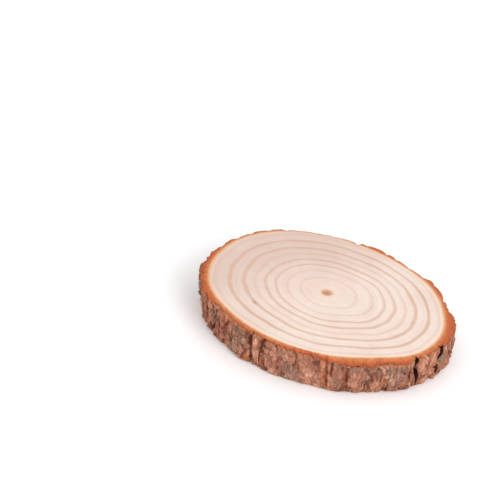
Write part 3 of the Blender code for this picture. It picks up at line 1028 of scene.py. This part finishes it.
class BarkSettings(bpy.types.PropertyGroup):
    """The inner and the outer bark."""

    seed: IntProperty(name="Seed", description="Draw of the bark's scales and strands", default=5)
    crust: FloatProperty(
        name="Crust", description="Thickness of the outer bark where it has broken",
        default=0.42 * MM, unit="LENGTH",
    )
    scale_relief: FloatProperty(
        name="Scale relief", description="How far one scale stands above the next",
        default=0.2 * MM, unit="LENGTH",
    )
    cambium_colour: FloatVectorProperty(
        name="Cambium", description="Colour of the bast against the wood",
        default=linear(236, 198, 164), subtype="COLOR",
    )
    bast_colour: FloatVectorProperty(
        name="Bast", description="Colour of the inner bark", default=linear(230, 150, 94), subtype="COLOR"
    )
    bast_dark_colour: FloatVectorProperty(
        name="Dark bast", description="Colour of the inner bark's outer layers",
        default=linear(190, 98, 58), subtype="COLOR",
    )
    bark_colour: FloatVectorProperty(
        name="Bark", description="Main colour of the outer bark",
        default=linear(188, 131, 103), subtype="COLOR",
    )
    red_colour: FloatVectorProperty(
        name="Red bark", description="Colour of the redder bark", default=linear(166, 98, 76), subtype="COLOR"
    )
    grey_colour: FloatVectorProperty(
        name="Grey bark", description="Colour of the weathered plates",
        default=linear(150, 119, 102), subtype="COLOR",
    )
    salmon_colour: FloatVectorProperty(
        name="Salmon bark", description="Colour of the fresher scales",
        default=linear(216, 153, 127), subtype="COLOR",
    )
    amber_colour: FloatVectorProperty(
        name="Amber bark", description="Colour where the inner bark shines through",
        default=linear(186, 106, 62), subtype="COLOR",
    )
    # This colour is also the painted highlight on raised strands and on the curl's crest.
    pale_colour: FloatVectorProperty(
        name="Pale bark", description="Colour of the palest strands",
        default=linear(218, 190, 170), subtype="COLOR",
    )
    # This colour is also the painted shade in furrows, pits and cracks.
    furrow_colour: FloatVectorProperty(
        name="Furrows", description="Colour down in the furrows", default=linear(90, 32, 22), subtype="COLOR"
    )
    # The black of dirt and painted shade down in the cracks.
    crack_colour: FloatVectorProperty(
        name="Cracks", description="Colour down in the black cracks",
        default=linear(38, 10, 5), subtype="COLOR",
    )


class LooseSettings(bpy.types.PropertyGroup):
    """The scales, fibres and curls that stand loose on the bark."""

    seed: IntProperty(name="Seed", description="Draw of the loose pieces' places and sizes", default=3)
    scale_density: FloatProperty(
        name="Scale density", description="Loose scales to the square metre of whole bark", default=330000
    )
    scale_width: FloatProperty(
        name="Scale width", description="Width of a scale", default=0.95 * MM, unit="LENGTH"
    )
    scale_length: FloatProperty(
        name="Scale length", description="Height of a scale", default=1.5 * MM, unit="LENGTH"
    )
    scale_thickness: FloatProperty(
        name="Scale thickness", description="Thickness of a scale", default=0.07 * MM, unit="LENGTH"
    )
    scale_curl: FloatProperty(
        name="Scale curl", description="Rise of a scale's edge, as a number of its thicknesses", default=1.0
    )
    scale_ragged: FloatProperty(
        name="Scale raggedness", description="How far a scale's outline strays",
        default=0.5 * MM, unit="LENGTH",
    )
    fibre_density: FloatProperty(
        name="Fibre density", description="Torn fibres to the square metre of broken edge", default=1500000
    )
    fibre_width: FloatProperty(
        name="Fibre width", description="Width of a fibre", default=0.2 * MM, unit="LENGTH"
    )
    fibre_length: FloatProperty(
        name="Fibre length", description="Length of a fibre", default=0.45 * MM, unit="LENGTH"
    )
    fibre_bend: FloatProperty(
        name="Fibre bend", description="How far a fibre's tip strays, as a number of its widths", default=1.2
    )
    flake_lift: FloatProperty(
        name="Flake lift", description="How far the curled flake stands off the side",
        default=0.55 * MM, unit="LENGTH",
    )


# Operators.

WOOD_COLUMNS = 320
WOOD_LOOPS = 92
WOOD_OVERLAP_MM = 0.06  # how far the wood's rim reaches out over the bark's sunk edge
WOOD_WALL_INSET_MM = 0.3  # how far from each face the wood's upright wall starts
FIT_POWER = 12          # so high that only the last loops bend to meet the bark's edge

# Marks on the sawn faces, placed from the pith.
PITH_RADIUS_MM = 1.55
HALO_MM = (0.0, -0.5)           # the warmer wood round the pith
HALO_RADIUS_MM = 2.7
SMEAR_MM = (-3.2, 2.0)          # a warm smear beside the pith
SMEAR_HALF_MM = (3.2, 1.8)
SMEAR_STRENGTH = 0.5
FLECK_MM = (-18.6, -10.7)       # a drop of resin on a ring
FLECK_HALF_MM = (0.45, 1.1)     # across its ring and along it
BLUSH_AND_SHADE_WAY = (-0.7, 0.7)         # the wood grows pinker and darker this way, partly its own blush and partly painted shade


def wood_face(settings, level_mm, edge_mm, upwards):
    """One sawn face as loops from the pith to the rim: its points, and what its material reads there."""
    angles = np.arange(WOOD_COLUMNS) * 360 / WOOD_COLUMNS
    share = np.linspace(0, 1, WOOD_LOOPS + 1)[1:, None]
    lean = 1 + RING_LEAN * (1 - share**2) * np.cos(np.radians(angles - RING_LEAN_DEG))
    rim = around(WOOD_RIM_MM, angles)
    held_in = (edge_mm + WOOD_OVERLAP_MM) / rim - 1
    radius = share * rim * lean * (1 + held_in * share**FIT_POWER)
    east = np.cos(np.radians(angles)) + 0 * share
    north = np.sin(np.radians(angles)) + 0 * share
    x, y = radius * east, radius * north
    late = np.zeros_like(share)
    for at, strength, width in RINGS:
        late = late + strength * np.exp(-(((share - at) * MEAN_RADIUS_MM / (0.45 * width)) ** 2))
    core = np.exp(-((np.hypot(x, y) / PITH_RADIUS_MM) ** 4))
    sink = settings.pith_depth / MM * core + settings.ring_relief / MM * (1 - np.minimum(late, 1))
    centre = pith_at(level_mm)
    z = level_mm - sink if upwards else level_mm + sink
    points = np.stack([x + centre[0], y + centre[1], z], axis=-1)

    off_smear = np.hypot((x - SMEAR_MM[0]) / SMEAR_HALF_MM[0], (y - SMEAR_MM[1]) / SMEAR_HALF_MM[1])
    smear = SMEAR_STRENGTH * np.exp(-(off_smear**2))
    halo = np.exp(-((np.hypot(x - HALO_MM[0], y - HALO_MM[1]) / HALO_RADIUS_MM) ** 4))
    across_ring = (x - FLECK_MM[0]) * east + (y - FLECK_MM[1]) * north
    along_ring = (y - FLECK_MM[1]) * east - (x - FLECK_MM[0]) * north
    off_fleck = np.hypot(across_ring / FLECK_HALF_MM[0], along_ring / FLECK_HALF_MM[1])
    # Painted shade: the face grows pinker and darker towards the back left, partly the wood's own blush.
    blush_and_shade = (BLUSH_AND_SHADE_WAY[0] * x + BLUSH_AND_SHADE_WAY[1] * y) / np.max(radius)
    return points, {
        "ring_share": share + 0 * x,
        "pith": core,
        "halo": np.maximum(halo, smear),
        "fleck": np.exp(-(off_fleck**2)),
        "blush_and_shade": smoothstep(blush_and_shade, -0.15, 0.75),
        "from_pith": np.stack([east, north, share / 8 + 0 * x], axis=-1),
    }


class SLICE_OT_sawn_wood(bpy.types.Operator):
    """Makes the wood inside the bark, sawn on both faces"""

    bl_idname = "wood_slice.sawn_wood"
    bl_label = "Sawn wood"

    def execute(self, context):
        settings = context.scene.slice_wood
        surface = bark_surface(context.scene.slice_bark)
        angles = np.arange(WOOD_COLUMNS) * 360 / WOOD_COLUMNS
        top_edge = np.interp(angles, surface.angles, surface.top_rim, period=360)
        foot_edge = np.interp(angles, surface.angles, surface.foot_rim, period=360)
        top, top_fields = wood_face(settings, THICKNESS_MM, top_edge, True)
        foot, foot_fields = wood_face(settings, 0.0, foot_edge, False)
        wall_top, wall_foot = top[-1].copy(), foot[-1].copy()
        wall_top[:, 2] -= WOOD_WALL_INSET_MM
        wall_foot[:, 2] += WOOD_WALL_INSET_MM
        grid = np.concatenate([foot, wall_foot[None], wall_top[None], top[::-1]])
        fields = {}
        for name, on_top in top_fields.items():
            on_foot = foot_fields[name]
            joined = np.concatenate([on_foot, on_foot[-1:], on_top[-1:], on_top[::-1]])
            middles = np.stack([on_foot[0].mean(axis=0), on_top[0].mean(axis=0)])
            fields[name] = np.concatenate([joined.reshape(-1, *joined.shape[2:]), middles])
        middles = np.stack([foot[0].mean(axis=0), top[0].mean(axis=0)])
        points = np.concatenate([grid.reshape(-1, 3), middles])
        faces = grid_faces(len(grid), WOOD_COLUMNS, ring=False).tolist()
        under, over = len(points) - 2, len(points) - 1
        last = (len(grid) - 1) * WOOD_COLUMNS
        for column in range(WOOD_COLUMNS):
            following = (column + 1) % WOOD_COLUMNS
            faces.append((under, following, column))
            faces.append((over, last + column, last + following))
        piece = mesh_object("sawn_wood", points, faces, fields, sawn_wood_material(settings))
        on_the_slice(piece)
        return {"FINISHED"}


# Where a piece of bark closes, out of sight: how far from its face, and how far in from its edge.
HIDDEN_MM = 1.2
HIDDEN_IN_MM = 0.1

# How many rows of the underside and of the top face the crust takes in, and the sheet for loose pieces.
CRUST_FACE_ROWS = (5, 7)
SHEET_FACE_ROWS = (2, 4)

# The inner bark has every row above this share of the side, and one row in a few under it.
INNER_FINE_FROM = 0.7
INNER_COARSE_STEP = 4
MADE_SURFACES = {}


def bark_surface(settings):
    """The bark's surface for these settings, worked out once for all the pieces that need it."""
    key = settings.seed, settings.crust, settings.scale_relief
    if key not in MADE_SURFACES:
        MADE_SURFACES[key] = BarkSurface(settings)
    return MADE_SURFACES[key]


def side_rows(foot, top):
    """The section's rows up the side, with some of the underside and of the top face."""
    return np.arange(FOOT_ROWS - foot, FOOT_ROWS + SIDE_ROWS + top)


def closed_ring(surface, points, rows):
    """The chosen rows of the section, closed through the inside of the slice."""
    chosen = points[rows]
    inward = np.column_stack([np.cos(np.radians(surface.angles)), np.sin(np.radians(surface.angles))])
    foot, top = chosen[0].copy(), chosen[-1].copy()
    for end, rise in ((foot, HIDDEN_MM), (top, -HIDDEN_MM)):
        end[:, :2] -= inward * HIDDEN_IN_MM
        end[:, 2] += rise
    return np.concatenate([chosen, top[None], foot[None]])


def ring_fields(fields, rows):
    """The chosen rows of each field, with the closing rows repeating their neighbours."""
    made = {}
    for name, values in fields.items():
        chosen = values[rows]
        made[name] = np.concatenate([chosen, chosen[-1:], chosen[:1]]).ravel()
    return made


class SLICE_OT_inner_bark(bpy.types.Operator):
    """Makes the soft orange bast, sawn flush with the wood and bare where the outer bark has chipped"""

    bl_idname = "wood_slice.inner_bark"
    bl_label = "Inner bark"

    def execute(self, context):
        settings = context.scene.slice_bark
        surface = bark_surface(settings)
        total = FOOT_ROWS + SIDE_ROWS + TOP_ROWS
        fine_from = FOOT_ROWS + int(INNER_FINE_FROM * SIDE_ROWS)
        hidden = range(FOOT_ROWS + 2, fine_from, INNER_COARSE_STEP)
        rows = np.array([*range(FOOT_ROWS + 2), *hidden, *range(fine_from, total)])
        gradient_mm = np.clip(5 * surface.face_width - 2.3, 0.15, 1.85)
        across = (surface.radius - surface.wood_edge) / gradient_mm
        down = np.minimum(surface.level, THICKNESS_MM - surface.level)
        across = np.maximum(across, np.minimum(down, 1))
        red = around(BAST_RED, surface.degrees) * smoothstep(down, 0.2, 1.2)
        grid = closed_ring(surface, surface.moved(surface.bast_off), rows)
        fields = ring_fields({"across": across, "crack_dirt_and_shade": surface.crack_dirt_and_shade, "red": red}, rows)
        faces = grid_faces(len(grid), len(surface.angles), ring=True).tolist()
        piece = mesh_object("inner_bark", grid.reshape(-1, 3), faces, fields, inner_bark_material(settings))
        on_the_slice(piece)
        return {"FINISHED"}


class SLICE_OT_outer_bark(bpy.types.Operator):
    """Makes the scaly crust of the outer bark with its furrows and black cracks"""

    bl_idname = "wood_slice.outer_bark"
    bl_label = "Outer bark"

    def execute(self, context):
        settings = context.scene.slice_bark
        surface = bark_surface(settings)
        rows = side_rows(*CRUST_FACE_ROWS)
        grid = closed_ring(surface, surface.moved(surface.crust_off), rows)
        faces = grid_faces(len(grid), len(surface.angles), ring=True).tolist()
        fields = ring_fields(surface.fields(), rows)
        material = shared_material(outer_bark_material, settings)
        piece = mesh_object("outer_bark", grid.reshape(-1, 3), faces, fields, material)
        on_the_slice(piece)
        return {"FINISHED"}


def crust_sheet(settings):
    """The outer bark's outside alone, as the surface that smaller pieces are scattered on."""
    surface = bark_surface(settings)
    rows = side_rows(*SHEET_FACE_ROWS)
    points = surface.moved(surface.crust_off)[rows]
    fields = {name: values[rows].ravel() for name, values in surface.fields().items()}
    faces = grid_faces(len(rows), len(surface.angles), ring=False).tolist()
    material = shared_material(outer_bark_material, settings)
    return mesh_object("crust_sheet", points.reshape(-1, 3), faces, fields, material)


class SLICE_OT_bark_scales(bpy.types.Operator):
    """Makes the thin loose scales that lie on the outer bark"""

    bl_idname = "wood_slice.bark_scales"
    bl_label = "Bark scales"

    def execute(self, context):
        bark, loose = context.scene.slice_bark, context.scene.slice_loose
        inputs = {
            "Density": loose.scale_density, "Width": loose.scale_width, "Length": loose.scale_length,
            "Thickness": loose.scale_thickness, "Curl": loose.scale_curl, "Ragged": loose.scale_ragged,
            "Seed": loose.seed, "Material": shared_material(outer_bark_material, bark),
        }
        piece = grown_piece("bark_scales", crust_sheet(bark), bark_scales_tree(), inputs)
        on_the_slice(piece)
        return {"FINISHED"}


class SLICE_OT_torn_fibres(bpy.types.Operator):
    """Makes the torn fibres along the broken edge of the outer bark"""

    bl_idname = "wood_slice.torn_fibres"
    bl_label = "Torn fibres"

    def execute(self, context):
        bark, loose = context.scene.slice_bark, context.scene.slice_loose
        inputs = {
            "Density": loose.fibre_density, "Width": loose.fibre_width, "Length": loose.fibre_length,
            "Bend": loose.fibre_bend, "Seed": loose.seed + 1,
            "Material": shared_material(torn_bark_material, bark),
        }
        piece = grown_piece("torn_fibres", crust_sheet(bark), torn_fibres_tree(), inputs)
        on_the_slice(piece)
        return {"FINISHED"}


FLAKE_SAMPLES = 36
FLAKE_STEPS = 7
FLAKE_REACH_MM = 0.95       # from its root to its crest
FLAKE_THICKNESS_MM = 0.13
FLAKE_SINK_MM = 0.15        # how far its root is held in the bark
FLAKE_EASING = 9            # samples that are averaged to round the crest's corners
FLAKE_RAGGED = 0.18         # how far its reach and lift stray, as a share
PER_DEGREE_MM = math.radians(1) * MEAN_RADIUS_MM

# The flake's cross-section as one loop: how far from root to crest, and which of its two skins.
FLAKE_LOOP = [(step, -0.5) for step in np.linspace(0, 1, FLAKE_STEPS)]
FLAKE_LOOP += [(step, 0.5) for step in np.linspace(1, 0, FLAKE_STEPS)]


def flake_crest():
    """Angle and height of the samples along the flake's crest, and the way towards its root at each."""
    stations = np.array(CURL_DEG_MM).T
    along = np.linspace(0, 1, FLAKE_SAMPLES)
    knots = np.linspace(0, 1, len(CURL_DEG_MM))
    window = np.full(FLAKE_EASING, 1 / FLAKE_EASING)
    crest = []
    for values in stations:
        padded = np.pad(np.interp(along, knots, values), FLAKE_EASING // 2, mode="edge")
        crest.append(np.convolve(padded, window, "valid"))
    crest = np.array(crest)
    way = np.gradient(crest * [[PER_DEGREE_MM], [1]], axis=1)
    return crest, np.stack([way[1], -way[0]]) / np.hypot(*way)


def flake_points(surface, settings):
    """The flake's cross-sections from end to end, each as thick and as far off the bark as it is there."""
    crest, inside = flake_crest()
    taper = np.sin(np.pi * np.linspace(0.08, 0.92, FLAKE_SAMPLES)) ** 0.6
    stray = np.random.default_rng(settings.seed).uniform(-1, 1, FLAKE_SAMPLES)
    size = taper * (1 + FLAKE_RAGGED * stray)
    lift = settings.flake_lift / MM
    rows = side_rows(0, 0)
    side = surface.moved(surface.crust_off)[rows]
    points = np.empty((FLAKE_SAMPLES, len(FLAKE_LOOP), 3))
    for sample in range(FLAKE_SAMPLES):
        for place, (step, skin) in enumerate(FLAKE_LOOP):
            back = (1 - step) * FLAKE_REACH_MM * size[sample]
            angle = crest[0, sample] + inside[0, sample] * back / PER_DEGREE_MM
            level = crest[1, sample] + inside[1, sample] * back
            column = np.searchsorted(surface.angles, angle)
            row = np.argmin(np.abs(side[:, column, 2] - level))
            thick = FLAKE_THICKNESS_MM * (1.1 - 0.6 * step)
            off = lift * size[sample] * step**1.7 - FLAKE_SINK_MM * (1 - step) + skin * thick
            points[sample, place] = side[row, column] + surface.normal[rows[row], column] * off
            points[sample, place, 2] = level
    return np.clip(points, np.array(CAD_LOW) / MM, np.array(CAD_HIGH) / MM)


class SLICE_OT_curled_flake(bpy.types.Operator):
    """Makes the papery curl of bark that stands off the side"""

    bl_idname = "wood_slice.curled_flake"
    bl_label = "Curled flake"

    def execute(self, context):
        surface = bark_surface(context.scene.slice_bark)
        points = flake_points(surface, context.scene.slice_loose)
        around_it = len(FLAKE_LOOP)
        faces = grid_faces(FLAKE_SAMPLES, around_it, ring=False).tolist()
        last = (FLAKE_SAMPLES - 1) * around_it
        faces.append(tuple(range(around_it))[::-1])
        faces.append(tuple(range(last, last + around_it)))
        # The tone rises from root to crest, so the crest is painted pale as a highlight and the root stays
        # browner.
        tone = np.tile([1.6 * step - 0.8 for step, skin in FLAKE_LOOP], FLAKE_SAMPLES)
        material = shared_material(torn_bark_material, context.scene.slice_bark)
        piece = mesh_object("curled_flake", points.reshape(-1, 3), faces, {"tone": tone}, material)
        on_the_slice(piece)
        return {"FINISHED"}


# The picture's side and the pith's place in it in pixels, and the picture's scale at the pith.
IMAGE_SIDE = 500
PITH_PIXEL = (326.8, 292.3)
PIXELS_PER_MM = 3.75
SENSOR_MM = 36.0

# Each light's place and how wide it is, in metres.
KEY_LIGHT = ((0.38, -0.52, 0.42), 0.45)
FILL_LIGHT = ((-0.40, -0.50, 0.50), 0.6)


def area_light(name, place, size, power):
    """A round soft light that shines at the slice."""
    data = bpy.data.lights.new(name, "AREA")
    data.shape = "DISK"
    data.size = size
    data.energy = power
    made = bpy.data.objects.new(name, data)
    made.location = place
    made.rotation_euler = (-Vector(place)).to_track_quat("-Z", "Y").to_euler()
    bpy.context.scene.collection.objects.link(made)


class SLICE_OT_stage(bpy.types.Operator):
    """Makes the camera at the photograph's angle, the soft light and the plain floor"""

    bl_idname = "wood_slice.stage"
    bl_label = "Stage"

    def execute(self, context):
        settings = context.scene.slice_stage
        scene = context.scene
        camera = bpy.data.cameras.new("camera")
        camera.lens = settings.lens
        camera.sensor_width = SENSOR_MM
        camera.clip_start = 0.01
        camera.clip_end = 20
        holder = bpy.data.objects.new("camera", camera)
        scene.collection.objects.link(holder)
        turn = Matrix.Rotation(math.pi / 2 - settings.pitch, 3, "X") @ Matrix.Rotation(settings.roll, 3, "Z")
        focal_pixels = settings.lens / SENSOR_MM * IMAGE_SIDE
        distance = focal_pixels / PIXELS_PER_MM
        half = IMAGE_SIDE / 2
        seen = Vector((PITH_PIXEL[0] - half, half - PITH_PIXEL[1], -focal_pixels)).normalized() * distance
        pith = Vector((*PITH_TOP_MM, THICKNESS_MM))
        holder.matrix_world = Matrix.LocRotScale((pith - turn @ seen) * MM, turn.to_quaternion(), None)
        scene.camera = holder

        world = bpy.data.worlds.new("studio")
        world.use_nodes = True
        sky = world.node_tree.nodes["Background"]
        sky.inputs["Color"].default_value = (1, 1, 1, 1)
        sky.inputs["Strength"].default_value = settings.sky
        scene.world = world
        area_light("key_light", *KEY_LIGHT, settings.key_power)
        area_light("fill_light", *FILL_LIGHT, settings.fill_power)
        scene.view_settings.view_transform = "Standard"

        material, graph, shader = new_material("floor")
        graph.set(shader.inputs["Base Color"], tuple(settings.floor_colour))
        shader.inputs["Roughness"].default_value = 0.7
        half = settings.floor / 2
        corners = [(-half, -half, 0), (half, -half, 0), (half, half, 0), (-half, half, 0)]
        mesh = bpy.data.meshes.new("floor")
        mesh.from_pydata(corners, [], [(0, 1, 2, 3)])
        mesh.materials.append(material)
        floor = bpy.data.objects.new("floor", mesh)
        scene.collection.objects.link(floor)
        return {"FINISHED"}


class SLICE_PT_panel(bpy.types.Panel):
    """Lists what the wood slice is made of"""

    bl_idname = "SLICE_PT_panel"
    bl_label = "Wood Slice"
    bl_space_type = "VIEW_3D"
    bl_region_type = "UI"
    bl_category = "Wood Slice"

    def draw(self, context):
        for operator in OPERATORS:
            self.layout.operator(operator.bl_idname)


SETTINGS = {
    "slice_stage": StageSettings, "slice_wood": WoodSettings, "slice_bark": BarkSettings,
    "slice_loose": LooseSettings,
}
OPERATORS = (
    SLICE_OT_stage, SLICE_OT_sawn_wood, SLICE_OT_inner_bark, SLICE_OT_outer_bark, SLICE_OT_bark_scales,
    SLICE_OT_torn_fibres, SLICE_OT_curled_flake,
)
CLASSES = (*SETTINGS.values(), *OPERATORS, SLICE_PT_panel)


def register():
    for made in CLASSES:
        bpy.utils.register_class(made)
    for name, group in SETTINGS.items():
        setattr(bpy.types.Scene, name, PointerProperty(type=group))


def unregister():
    for name in SETTINGS:
        delattr(bpy.types.Scene, name)
    for made in reversed(CLASSES):
        bpy.utils.unregister_class(made)


def main():
    register()
    for operator in OPERATORS:
        group, name = operator.bl_idname.split(".")
        getattr(getattr(bpy.ops, group), name)()


if __name__ == "__main__":
    main()
